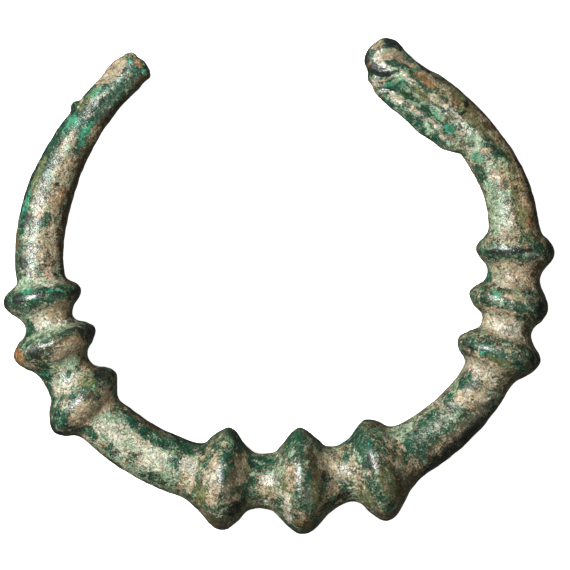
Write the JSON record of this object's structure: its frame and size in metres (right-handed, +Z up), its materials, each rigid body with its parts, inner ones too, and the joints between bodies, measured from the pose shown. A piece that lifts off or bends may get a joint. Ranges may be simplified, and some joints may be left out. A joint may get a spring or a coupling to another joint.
{
  "type": "torc",
  "caption": "Open cast neck ring of round bar with groups of moulded collars, one broken end and one knobbed end, worn round the neck as an ornament.",
  "frame": {"origin": "on the surface the ring lies on, under the middle of its outline", "axes": "+Z up, square to the ring as it lies; +Y from the thick middle group of collars towards the gap; +X towards the arm with the knobbed end"},
  "size_m": [0.1542, 0.1386, 0.0292],
  "materials": {
    "bronze": "cast bronze under a mottled dark green, pale green and tan patina, glossy on the worn crests and matt and crusty in the hollows"
  },
  "bodies": {
    "root": {"torc": "bronze"}
  },
  "joints": []
}
